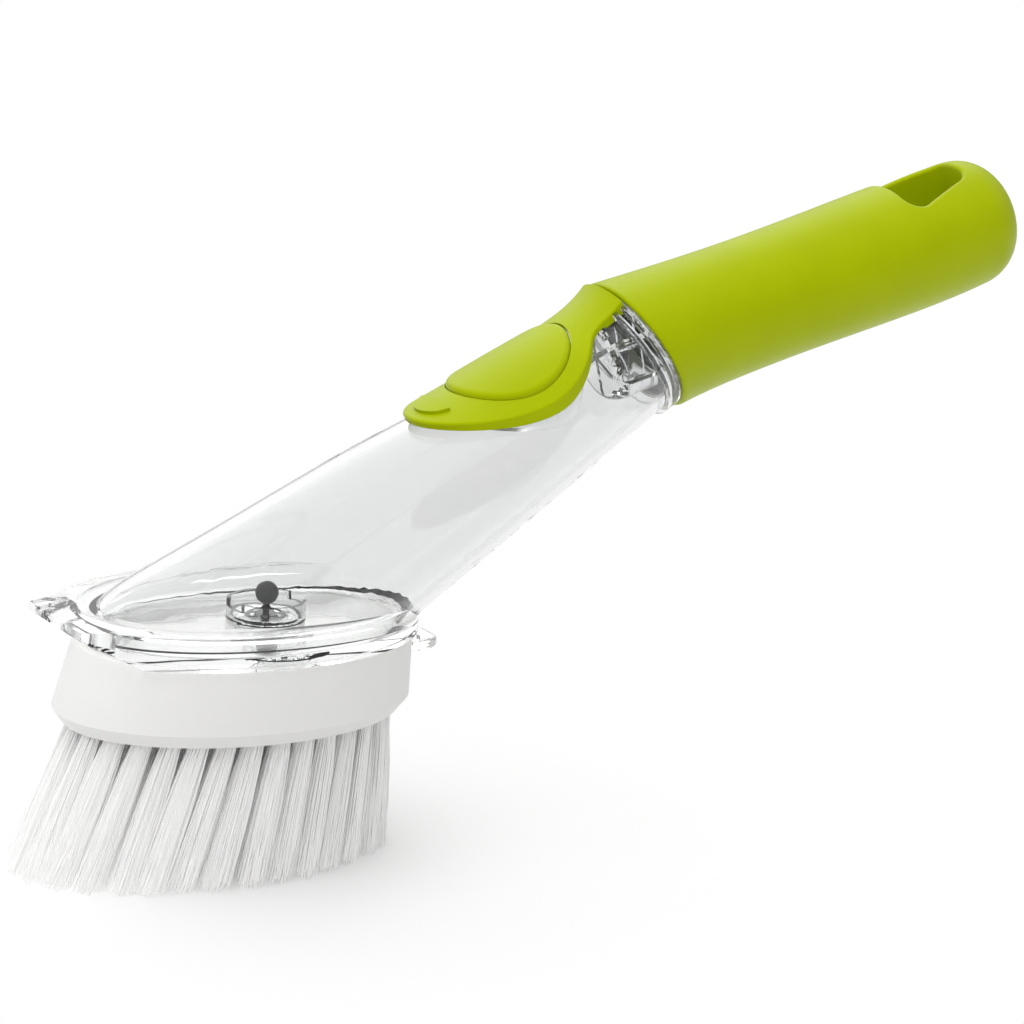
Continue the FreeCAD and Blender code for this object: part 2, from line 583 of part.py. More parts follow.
def make_neck_plug():
    """Ribbed cup that closes the neck, with a groove for its ring seal."""
    radius = NECK_BORE_RADIUS - RUNNING_CLEARANCE
    plug = axial(radius, -PLUG_NOSE, PLUG_TAIL)
    nose = edges_where(plug, lambda edge: edge.BoundBox.XMax < 0.01 - PLUG_NOSE)
    plug = plug.makeFillet(PLUG_NOSE_ROUND, nose)
    skin = radius - PLUG_BORE
    plug = plug.cut(axial(PLUG_BORE, skin - PLUG_NOSE, PLUG_TAIL))
    groove_depth = 2 * RING_SECTION + RING_SQUEEZE_GAP
    groove_half_width = RING_SECTION + RUNNING_CLEARANCE
    groove = axial(radius, RING_PLACE - groove_half_width, RING_PLACE + groove_half_width)
    groove = groove.cut(axial(radius - groove_depth, -PLUG_NOSE, PLUG_TAIL))
    ribs = []
    for number in range(PLUG_RIB_COUNT):
        rib = Part.makeBox(PLUG_NOSE, PLUG_RIB_THICKNESS, 2 * PLUG_BORE,
                           V(skin - PLUG_NOSE, -PLUG_RIB_THICKNESS / 2, -PLUG_BORE))
        rib.rotate(V(0, 0, 0), V(1, 0, 0), 180.0 * number / PLUG_RIB_COUNT)
        ribs.append(rib.common(axial(PLUG_BORE, -PLUG_NOSE, PLUG_TAIL)))
    return in_grip(plug.cut(groove).fuse(ribs))


def make_plug_ring():
    middle = NECK_BORE_RADIUS - RUNNING_CLEARANCE - RING_SECTION
    return in_grip(Part.makeTorus(middle, RING_SECTION, V(RING_PLACE, 0, 0), V(1, 0, 0)))


def make_neck_seal():
    """Flat ring between the neck collar and the mouth of the grip."""
    ring = placed(axial(NECK_SEAL_RADIUS, 0, NECK_SEAL_THICKNESS), NECK, NECK_ANGLE)
    passage = in_grip(axial(NECK_SPIGOT_RADIUS + RUNNING_CLEARANCE, -NECK_SPIGOT_LENGTH, NECK_SPIGOT_LENGTH))
    return ring.cut(passage)


def crest_slice(start, end):
    """Everything between two places along the lid."""
    return in_lid(Part.makeBox(end - start, FAR, FAR, V(start, -FAR / 2, -FAR / 2)))


def make_lid_skin(inner, outer):
    """The lid and its strap in one, between two forms, with the upper rim rounded."""
    skin = outer.cut(inner).common(leaf_prism(0.0))
    rim = edges_where(skin, lambda edge: lies_on(edge, outer) and not at_neck_end(edge))
    return skin.makeFillet(LID_EDGE_ROUND, rim)


def at_neck_end(edge):
    """True for an edge in the plane where the neck ends."""
    return all(abs((end.Point - NECK).dot(heading(NECK_ANGLE))) < 0.01 for end in edge.Vertexes)


def make_fill_lid(lid_inner, lid_outer):
    """Green leaf round the pump button: curved skin and a half-round lip to lift it by."""
    lid = make_lid_skin(lid_inner, lid_outer)
    lid = lid.common(crest_slice(-2 * LID_CENTRE, -STRAP_LENGTH - LID_SPLIT_GAP))
    bow = LIFT_LIP_INSET - LID_CENTRE - LID_FRONT
    radius = (LIFT_LIP_HALF_WIDTH ** 2 / LIFT_LIP_LENGTH + LIFT_LIP_LENGTH) / 2
    lip = Part.makeCylinder(radius, PRISM_DEPTH + PRISM_RISE, V(bow + radius, 0, -PRISM_DEPTH))
    lip = in_lid(lip).common(crest_slice(-FAR / 2, bow + LIFT_LIP_LENGTH))
    lip = lip.common(reservoir_form(LID_GAP + LID_THICKNESS + LIFT_LIP_HEIGHT)).cut(lid_inner)
    return lid.fuse(lip).cut(button_prism(BUTTON_CLEARANCE))


def in_lid_frame(point):
    """A point's place along and above the crest line at the neck."""
    away = point - NECK_TOP
    return away.dot(heading(LID_ANGLE)), away.dot(standing(LID_ANGLE))


def middle_height(edge):
    return in_lid_frame(edge.BoundBox.Center)[1]


def lies_on(edge, solid):
    """True for an edge whose middle lies on a solid's skin."""
    middle = edge.valueAt((edge.FirstParameter + edge.LastParameter) / 2)
    return solid.Shells[0].distToShape(Part.Vertex(middle))[0] < 0.005


def make_lid_strap(outer, lid_outer):
    """The strap's root, seated on the neck up against the mouth of the grip."""
    return make_lid_skin(outer, lid_outer).common(crest_slice(-STRAP_LENGTH, FAR / 4))


def make_pump_button():
    """Oval domed pad in the lid's opening, with a skirt that runs in the filler port."""
    pad = button_prism(0.0).common(reservoir_form(LID_GAP + LID_THICKNESS + BUTTON_RISE))
    rim = edges_where(pad, lambda edge: middle_height(edge) > -LID_HALF_WIDTH / 2 and not is_side(edge))
    pad = pad.makeFillet(BUTTON_EDGE_ROUND, rim).cut(reservoir_form(BUTTON_SEAT))
    skirt = port_prism(-PORT_CLEARANCE).cut(port_prism(-PORT_CLEARANCE - SKIRT_WALL))
    skirt = skirt.common(reservoir_form(BUTTON_SEAT + LID_THICKNESS / 2)).cut(reservoir_form(-SKIRT_DEPTH))
    return pad.fuse(skirt)


def is_side(edge):
    """True for an edge that runs square to the crest, along the button's wall."""
    ends = [in_lid_frame(end.Point)[1] for end in edge.Vertexes]
    return max(ends) - min(ends) > 0.9 * edge.Length


def make_port_seal(outer):
    """Clear gasket round the button, standing proud of the lid's sides."""
    ring = reservoir_form(PORT_SEAL_THICKNESS).cut(outer)
    outline = lid_oval(LID_FRONT - PORT_SEAL_SETBACK, LID_REAR - PORT_SEAL_SETBACK,
                       LID_HALF_WIDTH + PORT_SEAL_PROUD)
    return ring.common(in_lid(outline)).cut(button_prism(PORT_SEAL_GAP))


def grip_section(place, radius, turn):
    """A round section of the grip, its plane turned from square by an angle."""
    section = Part.Circle(V(0, 0, 0), V(1, 0, 0), radius).toBSpline().toShape()
    return placed(Part.Wire(section), V(place, 0, 0), turn)


def hang_outline(z, inset, base, tip):
    """Corners of the hanging hole at a height, drawn in by its corner radius."""
    start = HANG_BASE + inset + HANG_CORNER_ROUND
    end = HANG_BASE + HANG_LENGTH - inset - HANG_CORNER_ROUND
    base = base - HANG_CORNER_ROUND
    tip = tip - HANG_CORNER_ROUND
    corners = [V(start, -base, z), V(end, -tip, z), V(end, tip, z), V(start, base, z)]
    return Part.makePolygon(corners + corners[:1])


def hang_prism(grow):
    """Rounded hole through the grip, narrower to its end and drawn in towards the underside."""
    top = hang_outline(GRIP_RIM_RADIUS, 0.0, HANG_HALF_WIDTH, HANG_TIP_HALF_WIDTH)
    foot = hang_outline(-GRIP_RIM_RADIUS, HANG_FOOT_INSET, HANG_FOOT_HALF_WIDTH, HANG_FOOT_HALF_WIDTH)
    outlines = [wire.makeOffset2D(HANG_CORNER_ROUND + grow) for wire in (foot, top)]
    return Part.makeLoft(outlines, True, True)


def make_grip():
    """Soft grip: flared mouth, slight waist, rounded end and a hole to hang it by."""
    slope = NECK_ANGLE - GRIP_ANGLE
    setback = NECK_SEAL_THICKNESS / math.cos(math.radians(slope))
    sections = [grip_section(setback, GRIP_RIM_RADIUS, slope),
                grip_section(GRIP_WAIST_PLACE / 2, (GRIP_RIM_RADIUS + 3 * GRIP_WAIST_RADIUS) / 4, slope / 3),
                grip_section(GRIP_WAIST_PLACE, GRIP_WAIST_RADIUS, 0.0),
                grip_section(GRIP_BELLY_PLACE, GRIP_BELLY_RADIUS, 0.0),
                grip_section(GRIP_LENGTH, GRIP_END_RADIUS, 0.0)]
    grip = Part.makeLoft(sections, True, False)
    end = edges_where(grip, lambda edge: edge.BoundBox.XMin > GRIP_LENGTH - 1)
    rim = edges_where(grip, lambda edge: edge.BoundBox.XMax < GRIP_WAIST_PLACE / 2 and edge.isClosed())
    grip = grip.makeFillet(GRIP_END_ROUND, end).makeFillet(GRIP_RIM_ROUND, rim)
    grip = grip.cut(hang_prism(0.0))
    mouths = edges_where(grip, is_hole_mouth)
    grip = grip.makeFillet(HANG_EDGE_ROUND, mouths)
    hollow = axial(GRIP_END_RADIUS - GRIP_WALL, CORE_START, GRIP_LENGTH - GRIP_WALL)
    far_end = edges_where(hollow, lambda edge: edge.BoundBox.XMin > GRIP_LENGTH - GRIP_WALL - 0.1)
    hollow = hollow.makeFillet(GRIP_END_ROUND - GRIP_WALL, far_end).cut(hang_prism(GRIP_WALL))
    seat = axial(CORE_SEAT_RADIUS, CORE_START, HANG_BASE - 2 * GRIP_WALL)
    mouth = axial(NECK_SPIGOT_RADIUS + RUNNING_CLEARANCE, -NECK_SPIGOT_LENGTH, CORE_START)
    return in_grip(grip.cut(hollow.fuse(seat)).cut(mouth))


def is_hole_mouth(edge):
    """True for the edges where the hanging hole breaks the grip's surface."""
    box = edge.BoundBox
    if box.XMin < HANG_BASE - 1 or box.XMax > HANG_BASE + HANG_LENGTH + 1 or is_upright(edge):
        return False
    return max(abs(box.YMin), abs(box.YMax)) < HANG_HALF_WIDTH + 1


def make_handle_core():
    """Rigid tube inside the grip, with a socket for the neck spigot."""
    radius = CORE_SEAT_RADIUS - RUNNING_CLEARANCE
    tube = axial(radius, CORE_START, CORE_END)
    socket = axial(NECK_SPIGOT_RADIUS + RUNNING_CLEARANCE, CORE_START, NECK_SPIGOT_LENGTH)
    bore = axial(radius - CORE_WALL, NECK_SPIGOT_LENGTH, CORE_END - CORE_CAP)
    return in_grip(tube.cut(socket).cut(bore))


def main():
    os.makedirs("parts", exist_ok=True)
    outer = reservoir_form(0.0)
    lid_inner = reservoir_form(LID_GAP)
    lid_outer = reservoir_form(LID_GAP + LID_THICKNESS)
    rings = make_tuft_places()
    pieces = {
        "reservoir_body": make_reservoir_body(outer),
        "head_tray": make_head_tray(reservoir_form(WELD_GAP)),
        "valve_housing": make_valve_housing(),
        "dispensing_valve": make_dispensing_valve(),
        "neck_plug": make_neck_plug(),
        "plug_ring": make_plug_ring(),
        "neck_seal": make_neck_seal(),
        "handle_core": make_handle_core(),
        "grip": make_grip(),
        "lid_strap": make_lid_strap(outer, lid_outer),
        "fill_lid": make_fill_lid(lid_inner, lid_outer),
        "pump_button": make_pump_button(),
        "port_seal": make_port_seal(outer),
        "release_latch": make_release_latch(),
        "brush_block": make_brush_block(rings),
        "tuft_anchors": Part.makeCompound([make_anchor(*place) for places in rings for place in places]),
    }
    for name, places in zip(TUFT_RINGS, rings):
        pieces[name] = Part.makeCompound([make_tuft(*place) for place in places])
    for name, shape in pieces.items():
        shape.exportStep("parts/" + name + ".step")


main()
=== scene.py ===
"""The looks of a soap-dispensing dish wand: its finishes, bristles, strap skin and a plain studio.

Metres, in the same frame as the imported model: +X runs from the scraper to the end of the grip, Z is up, and the
bristle tips are at Z = 0.
"""

import math

import bmesh
import bpy
from mathutils import Matrix, Vector


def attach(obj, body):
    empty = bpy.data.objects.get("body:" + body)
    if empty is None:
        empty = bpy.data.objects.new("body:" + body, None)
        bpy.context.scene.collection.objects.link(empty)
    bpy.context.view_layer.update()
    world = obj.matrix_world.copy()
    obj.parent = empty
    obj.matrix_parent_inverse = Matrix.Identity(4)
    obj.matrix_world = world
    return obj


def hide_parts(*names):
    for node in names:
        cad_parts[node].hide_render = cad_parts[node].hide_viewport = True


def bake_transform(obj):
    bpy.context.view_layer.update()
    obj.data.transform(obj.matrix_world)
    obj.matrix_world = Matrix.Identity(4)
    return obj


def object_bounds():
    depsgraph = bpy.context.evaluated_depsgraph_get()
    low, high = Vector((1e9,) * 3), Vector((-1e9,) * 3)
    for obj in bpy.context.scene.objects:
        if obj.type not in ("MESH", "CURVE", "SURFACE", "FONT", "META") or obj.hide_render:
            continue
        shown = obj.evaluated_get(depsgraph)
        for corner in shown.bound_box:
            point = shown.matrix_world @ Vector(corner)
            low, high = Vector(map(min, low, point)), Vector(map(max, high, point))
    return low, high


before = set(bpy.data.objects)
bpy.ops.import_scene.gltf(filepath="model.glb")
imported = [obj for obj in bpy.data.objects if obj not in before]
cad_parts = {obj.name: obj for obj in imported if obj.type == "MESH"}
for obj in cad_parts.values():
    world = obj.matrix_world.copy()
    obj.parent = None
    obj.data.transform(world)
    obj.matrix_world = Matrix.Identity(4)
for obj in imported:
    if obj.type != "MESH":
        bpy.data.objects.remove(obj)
CAD_BOX = [list(corner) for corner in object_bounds()]
MM = 0.001

# Camera, in degrees and metres, with the lens set by the picture's pixels
VIEW_TURN = -32.79
VIEW_RISE = 14.53
VIEW_ROLL = 4.10
VIEW_DISTANCE = 1.0
VIEW_TARGET = Vector((0.085, 0.0, 0.080))
PIXELS_PER_METRE = 4110.0
TARGET_PIXEL = (553.9, 497.76)
FRAME_PIXELS = 1024.0

# Bristles: each tuft is a solid core with single filaments round it
FILAMENT_RADIUS = 0.17 * MM
CORE_RADIUS = 1.9 * MM
CORE_REACH = 0.86
TUFT_ROOT_SPREAD = 2.15 * MM
TUFT_TIP_SPREAD = 3.6 * MM
TUFT_LEAN = 0.9 * MM
FILAMENT_BOW = 0.7 * MM
FILAMENT_UNEVEN = 2.4 * MM
FILAMENT_POINTS = 5
FILAMENT_SIDES = 4
BOW_PEAK = 0.25
LEAST_REACH = 0.25
TIP_LEVEL = 0.15 * MM
NO_LIMIT = -1.0
TUFT_RINGS = {"tufts_outer": 170, "tufts_second": 150, "tufts_third": 130, "tufts_inner": 130}
SHADOW_RINGS = ("tufts_third", "tufts_inner")
FIRST_SEED = 11
SEED_STEP = 20

# Reading the tufts' solids
WELD_DISTANCE = 1e-6
TIP_BAND = 0.1 * MM
ROOT_BAND = 1 * MM

# Lid strap: places along the lid, from its start at the top of the neck, and the two faces of the hinge split
LID_START = Vector((94.801, 0.0, 130.035)) * MM
LID_SLOPE = math.radians(28.5)
LID_RUN = Vector((math.cos(LID_SLOPE), 0.0, math.sin(LID_SLOPE)))
LID_RISE = Vector((-LID_RUN.z, 0.0, LID_RUN.x))
STRAP_END = -6.5 * MM
LID_END = -6.7 * MM
FACE_BAND = 0.02 * MM
SIDE_BAND = 0.01 * MM
SKIN_POINTS = 41
SKIN_ROWS = (0.0, 0.5, 1.0)

# Colours, linear
LIME = (0.375, 0.458, 0.0)
LIME_DEEP = (0.355, 0.432, 0.0)
LIME_SHEEN = (0.85, 1.0, 0.10)
WHITE_BLOCK = (0.82, 0.815, 0.80)
WHITE_BLOCK_DEEP = (0.805, 0.80, 0.785)
NYLON = (0.99, 0.99, 0.985)
NYLON_DEEP = tuple(0.96 * part for part in NYLON)
TUBE_TINT = (0.85, 0.855, 0.855)
HEAD_TINT = (0.98, 0.985, 0.985)
SEAL_TINT = (0.90, 0.91, 0.90)
CLEAR_BODY = (0.88, 0.885, 0.885)
RUBBER = (0.009, 0.009, 0.010)
RUBBER_DEEP = (0.004, 0.004, 0.004)
STEEL = (0.66, 0.66, 0.64)
STEEL_DEEP = (0.50, 0.50, 0.48)
CORE = (0.68, 0.70, 0.64)
CORE_DEEP = (0.62, 0.64, 0.58)
FLOOR_GREY = (0.80, 0.80, 0.80)

# Studio; each sky is a level low down, a level overhead, and the heights between which it changes
AMBIENT = 0.51
GLOSSY_SKY = (0.35, 1.0, 0.30, 0.85)
CLEAR_SKY = (1.0, 0.85, 0.30, 0.80)
FLOOR_LIFT = 0.05
FLOOR_REACH = 3.0
FLOOR_LEVEL = -0.05 * MM
FLOOR_FADE = (0.04, 0.13)
LAMP_SPREAD = math.radians(70)
SENSOR_WIDTH = 36.0


def link(tree, source, target):
    """Joins an output to an input."""
    tree.links.new(source, target)


def put_in_scene(name, data):
    """A new object in the scene."""
    item = bpy.data.objects.new(name, data)
    bpy.context.scene.collection.objects.link(item)
    return item


def finish(name):
    """A new node material, with its tree and its shader."""
    material = bpy.data.materials.new(name)
    material.use_nodes = True
    tree = material.node_tree
    return material, tree, tree.nodes["Principled BSDF"]


def grain(tree, scale, detail=2.0, roughness=0.5):
    """Noise fixed to the piece, its scale in features per metre."""
    place = tree.nodes.new("ShaderNodeTexCoord")
    pattern = tree.nodes.new("ShaderNodeTexNoise")
    pattern.inputs["Scale"].default_value = scale
    pattern.inputs["Detail"].default_value = detail
    pattern.inputs["Roughness"].default_value = roughness
    link(tree, place.outputs["Object"], pattern.inputs["Vector"])
    return pattern.outputs["Fac"]


def spread(tree, value, low, high, start=0.3, end=0.7):
    """A pattern's value carried onto the range from low to high."""
    node = tree.nodes.new("ShaderNodeMapRange")
    for name, number in (("From Min", start), ("From Max", end), ("To Min", low), ("To Max", high)):
        node.inputs[name].default_value = number
    link(tree, value, node.inputs["Value"])
    return node.outputs["Result"]


def blend_colours(tree, value, first, second):
    """A colour between two, by a value from 0 to 1."""
    node = tree.nodes.new("ShaderNodeMix")
    node.data_type = "RGBA"
    colours = [socket for socket in node.inputs if socket.type == "RGBA"]
    colours[0].default_value = (*first, 1.0)
    colours[1].default_value = (*second, 1.0)
    link(tree, value, node.inputs["Factor"])
    return [socket for socket in node.outputs if socket.type == "RGBA"][0]


def roughen(tree, shader, value, strength, depth):
    """Fine relief on the surface."""
    bump = tree.nodes.new("ShaderNodeBump")
    bump.inputs["Strength"].default_value = strength
    bump.inputs["Distance"].default_value = depth
    link(tree, value, bump.inputs["Height"])
    link(tree, bump.outputs["Normal"], shader.inputs["Normal"])


def soft_lime():
    """Satin soft-touch green, with a fine moulded grain."""
    material, tree, shader = finish("lime_soft_touch")
    patches = spread(tree, grain(tree, 70.0), 0.0, 1.0)
    link(tree, blend_colours(tree, patches, LIME_DEEP, LIME), shader.inputs["Base Color"])
    link(tree, spread(tree, grain(tree, 900.0, 3.0), 0.36, 0.46), shader.inputs["Roughness"])
    roughen(tree, shader, grain(tree, 3200.0, 1.0), 0.10, 0.05 * MM)
    shader.inputs["Specular IOR Level"].default_value = 0.35
    shader.inputs["Specular Tint"].default_value = (*LIME_SHEEN, 1.0)
    return material


def clear_moulding(name, low, high, tint, depth, shine, clearness=1.0):
    """Water-clear moulded plastic, its roughness from low to high, with faint ripple and handling marks."""
    material, tree, shader = finish(name)
    marks = spread(tree, grain(tree, 260.0, 4.0, 0.6), 0.0, 1.0)
    paler = tuple(0.9 * part + 0.1 for part in tint)
    link(tree, blend_colours(tree, marks, tint, paler), shader.inputs["Base Color"])
    link(tree, spread(tree, grain(tree, 420.0, 4.0, 0.65), low, high), shader.inputs["Roughness"])
    roughen(tree, shader, grain(tree, 90.0, 1.0), 0.04, 0.5 * MM)
    shader.inputs["IOR"].default_value = 1.46
    shader.inputs["Specular Tint"].default_value = (shine, shine, shine, 1.0)
    shader.inputs["Transmission Weight"].default_value = clearness
    body = tree.nodes.new("ShaderNodeVolumeAbsorption")
    body.inputs["Color"].default_value = (*CLEAR_BODY, 1.0)
    body.inputs["Density"].default_value = depth
    link(tree, body.outputs["Volume"], tree.nodes["Material Output"].inputs["Volume"])
    return material


def black_rubber():
    """Dull black of the valve and the ring."""
    material, tree, shader = finish("black_silicone")
    patches = spread(tree, grain(tree, 500.0), 0.0, 1.0)
    link(tree, blend_colours(tree, patches, RUBBER_DEEP, RUBBER), shader.inputs["Base Color"])
    link(tree, spread(tree, grain(tree, 1500.0), 0.38, 0.5), shader.inputs["Roughness"])
    roughen(tree, shader, grain(tree, 2500.0), 0.12, 0.05 * MM)
    shader.inputs["Specular IOR Level"].default_value = 0.12
    return material


def white_moulding(name, first, second, rough):
    """Opaque moulded plastic with a light texture."""
    material, tree, shader = finish(name)
    patches = spread(tree, grain(tree, 120.0, 3.0), 0.0, 1.0)
    link(tree, blend_colours(tree, patches, first, second), shader.inputs["Base Color"])
    link(tree, spread(tree, grain(tree, 800.0, 3.0), rough - 0.05, rough + 0.07), shader.inputs["Roughness"])
    roughen(tree, shader, grain(tree, 2200.0, 1.0), 0.08, 0.05 * MM)
    return material


def nylon():
    """White filaments, each a little different."""
    material, tree, shader = finish("white_nylon_filament")
    each = tree.nodes.new("ShaderNodeAttribute")
    each.attribute_name = "filament_shade"
    link(tree, blend_colours(tree, each.outputs["Fac"], NYLON_DEEP, NYLON), shader.inputs["Base Color"])
    link(tree, spread(tree, grain(tree, 1500.0), 0.30, 0.42), shader.inputs["Roughness"])
    return material


def wire_steel():
    """Bright wire of the staples."""
    material, tree, shader = finish("staple_wire")
    patches = spread(tree, grain(tree, 2000.0), 0.0, 1.0)
    link(tree, blend_colours(tree, patches, STEEL_DEEP, STEEL), shader.inputs["Base Color"])
    link(tree, spread(tree, grain(tree, 4000.0), 0.25, 0.45), shader.inputs["Roughness"])
    shader.inputs["Metallic"].default_value = 1.0
    return material


def dress(nodes, material):
    """Gives carried-over parts their finish."""
    for name in nodes:
        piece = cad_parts[name]
        piece.data.materials.clear()
        piece.data.materials.append(material)


def tuft_ends(name):
    """Root and tip of each tuft in a ring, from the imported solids."""
    solids = bmesh.new()
    solids.from_mesh(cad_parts[name].data)
    bmesh.ops.remove_doubles(solids, verts=solids.verts, dist=WELD_DISTANCE)
    waiting = set(solids.verts)
    ends = []
    while waiting:
        island = [waiting.pop()]
        for vertex in island:
            for edge in vertex.link_edges:
                other = edge.other_vert(vertex)
                if other in waiting:
                    waiting.remove(other)
                    island.append(other)
        foot = [vertex.co for vertex in island if vertex.co.z < TIP_BAND]
        tip = sum(foot, Vector()) / len(foot)
        crown = max((vertex.co for vertex in island), key=lambda place: place.z)
        along = (crown - tip).normalized()
        highest = max(vertex.co.dot(along) for vertex in island)
        top = [vertex.co for vertex in island if vertex.co.dot(along) > highest - ROOT_BAND]
        ends.append((sum(top, Vector()) / len(top), tip))
    solids.free()
    ends.sort(key=lambda pair: math.atan2(pair[0].y, pair[0].x))
    return ends


def bristle_tree(material):
    """Node tree that grows a bundle of filaments at each tuft."""
    tree = bpy.data.node_groups.new("bristle_bundles", "GeometryNodeTree")
    tree.interface.new_socket("Geometry", in_out="OUTPUT", socket_type="NodeSocketGeometry")
    tree.interface.new_socket("Geometry", in_out="INPUT", socket_type="NodeSocketGeometry")
    for name in ("Filaments", "Seed"):
        tree.interface.new_socket(name, in_out="INPUT", socket_type="NodeSocketInt")
    for name in ("Filament Radius", "Root Spread", "Tip Spread", "Lean", "Bow", "Uneven", "Core Radius",
                 "Core Reach", "Front"):
        tree.interface.new_socket(name, in_out="INPUT", socket_type="NodeSocketFloat")
    nodes = tree.nodes
    source = nodes.new("NodeGroupInput")
    target = nodes.new("NodeGroupOutput")

    def math_node(operation, *values):
        node = nodes.new("ShaderNodeMath")
        node.operation = operation
        feed(node, values)
        return node.outputs[0]

    def vector_node(operation, *values):
        node = nodes.new("ShaderNodeVectorMath")
        node.operation = operation
        feed(node, values)
        return node.outputs["Vector"]

    def scaled(vector, factor):
        node = nodes.new("ShaderNodeVectorMath")
        node.operation = "SCALE"
        link(tree, vector, node.inputs[0])
        link(tree, factor, node.inputs["Scale"])
        return node.outputs["Vector"]

    def feed(node, values):
        for socket, value in zip(node.inputs, values):
            if isinstance(value, (int, float, tuple)):
                socket.default_value = value
            else:
                link(tree, value, socket)

    def chance(offset, low, high, vector=False):
        node = nodes.new("FunctionNodeRandomValue")
        node.data_type = "FLOAT_VECTOR" if vector else "FLOAT"
        lows = [socket for socket in node.inputs if socket.name == "Min" and socket.enabled]
        highs = [socket for socket in node.inputs if socket.name == "Max" and socket.enabled]
        lows[0].default_value = low
        highs[0].default_value = high
        link(tree, math_node("ADD", source.outputs["Seed"], offset), node.inputs["Seed"])
        return [socket for socket in node.outputs if socket.enabled][0]

    def keep(geometry, name, kind, value):
        node = nodes.new("GeometryNodeStoreNamedAttribute")
        node.data_type = kind
        node.inputs["Name"].default_value = name
        link(tree, geometry, node.inputs["Geometry"])
        stored = [socket for socket in node.inputs if socket.name == "Value" and socket.enabled][0]
        if isinstance(value, (float, tuple)):
            stored.default_value = value
        else:
            link(tree, value, stored)
        return node.outputs["Geometry"]

    def strand_points(geometry, start, end, sway, shade, girth):
        geometry = keep(geometry, "filament_start", "FLOAT_VECTOR", start)
        geometry = keep(geometry, "filament_end", "FLOAT_VECTOR", end)
        geometry = keep(geometry, "filament_sway", "FLOAT_VECTOR", sway)
        geometry = keep(geometry, "filament_shade", "FLOAT", shade)
        return keep(geometry, "filament_girth", "FLOAT", girth)

    def recall(name, kind):
        node = nodes.new("GeometryNodeInputNamedAttribute")
        node.data_type = kind
        node.inputs["Name"].default_value = name
        return [socket for socket in node.outputs if socket.name == "Attribute" and socket.enabled][0]

    # each tuft leans a little its own way, and is copied once for each filament
    lean = scaled(chance(1, (-1, -1, 0), (1, 1, 0), True), source.outputs["Lean"])
    leaned = keep(source.outputs["Geometry"], "tuft_tip", "FLOAT_VECTOR",
                  vector_node("ADD", recall("tuft_tip", "FLOAT_VECTOR"), lean))
    bundle = nodes.new("GeometryNodeDuplicateElements")
    bundle.domain = "POINT"
    link(tree, leaned, bundle.inputs["Geometry"])
    link(tree, source.outputs["Filaments"], bundle.inputs["Amount"])

    # a place in the tuft for each filament: its root, its tip and its bow
    turn = chance(2, 0.0, 2 * math.pi)
    reach = math_node("SQRT", chance(3, LEAST_REACH, 1.0))
    compass = nodes.new("ShaderNodeCombineXYZ")
    link(tree, math_node("MULTIPLY", math_node("COSINE", turn), reach), compass.inputs["X"])
    link(tree, math_node("MULTIPLY", math_node("SINE", turn), reach), compass.inputs["Y"])
    offset = compass.outputs["Vector"]
    place = nodes.new("GeometryNodeInputPosition").outputs["Position"]
    start = vector_node("ADD", place, scaled(offset, source.outputs["Root Spread"]))
    end = vector_node("ADD", recall("tuft_tip", "FLOAT_VECTOR"), scaled(offset, source.outputs["Tip Spread"]))
    lift = nodes.new("ShaderNodeCombineXYZ")
    link(tree, math_node("MULTIPLY", chance(4, 0.0, 1.0), source.outputs["Uneven"]), lift.inputs["Z"])
    end = vector_node("ADD", end, lift.outputs["Vector"])
    limit = nodes.new("ShaderNodeCombineXYZ")
    link(tree, source.outputs["Front"], limit.inputs["X"])
    limit.inputs["Y"].default_value = NO_LIMIT
    limit.inputs["Z"].default_value = TIP_LEVEL
    end = vector_node("MAXIMUM", end, limit.outputs["Vector"])
    sway = scaled(chance(5, (-1, -1, 0), (1, 1, 0), True), source.outputs["Bow"])
    filaments = strand_points(bundle.outputs["Geometry"], start, end, sway, chance(6, 0.0, 1.0), 1.0)
    run = vector_node("SUBTRACT", recall("tuft_tip", "FLOAT_VECTOR"), place)
    run = scaled(run, source.outputs["Core Reach"])
    girth = math_node("DIVIDE", source.outputs["Core Radius"], source.outputs["Filament Radius"])
    cores = strand_points(leaned, place, vector_node("ADD", place, run), (0.0, 0.0, 0.0), 0.5, girth)
    points = nodes.new("GeometryNodeJoinGeometry")
    link(tree, cores, points.inputs["Geometry"])
    link(tree, filaments, points.inputs["Geometry"])

    # a short line at each point, later drawn out from root to tip
    strand = nodes.new("GeometryNodeCurvePrimitiveLine")
    strand.inputs["End"].default_value = (0, 0, 1)
    cut = nodes.new("GeometryNodeResampleCurve")
    cut.inputs["Count"].default_value = FILAMENT_POINTS
    link(tree, strand.outputs["Curve"], cut.inputs["Curve"])
    copies = nodes.new("GeometryNodeInstanceOnPoints")
    link(tree, points.outputs["Geometry"], copies.inputs["Points"])
    link(tree, cut.outputs["Curve"], copies.inputs["Instance"])
    single = nodes.new("GeometryNodeRealizeInstances")
    link(tree, copies.outputs["Instances"], single.inputs["Geometry"])

    along = nodes.new("GeometryNodeSplineParameter").outputs["Factor"]
    path = nodes.new("ShaderNodeMix")
    path.data_type = "VECTOR"
    link(tree, along, path.inputs["Factor"])
    ends = [socket for socket in path.inputs if socket.type == "VECTOR"]
    link(tree, recall("filament_start", "FLOAT_VECTOR"), ends[-2])
    link(tree, recall("filament_end", "FLOAT_VECTOR"), ends[-1])
    straight = [socket for socket in path.outputs if socket.type == "VECTOR"][0]
    hump = math_node("MULTIPLY", along, math_node("SUBTRACT", 1.0, along))
    shape = nodes.new("GeometryNodeSetPosition")
    link(tree, single.outputs["Geometry"], shape.inputs["Geometry"])
    bowed = vector_node("ADD", straight, scaled(recall("filament_sway", "FLOAT_VECTOR"), hump))
    link(tree, bowed, shape.inputs["Position"])

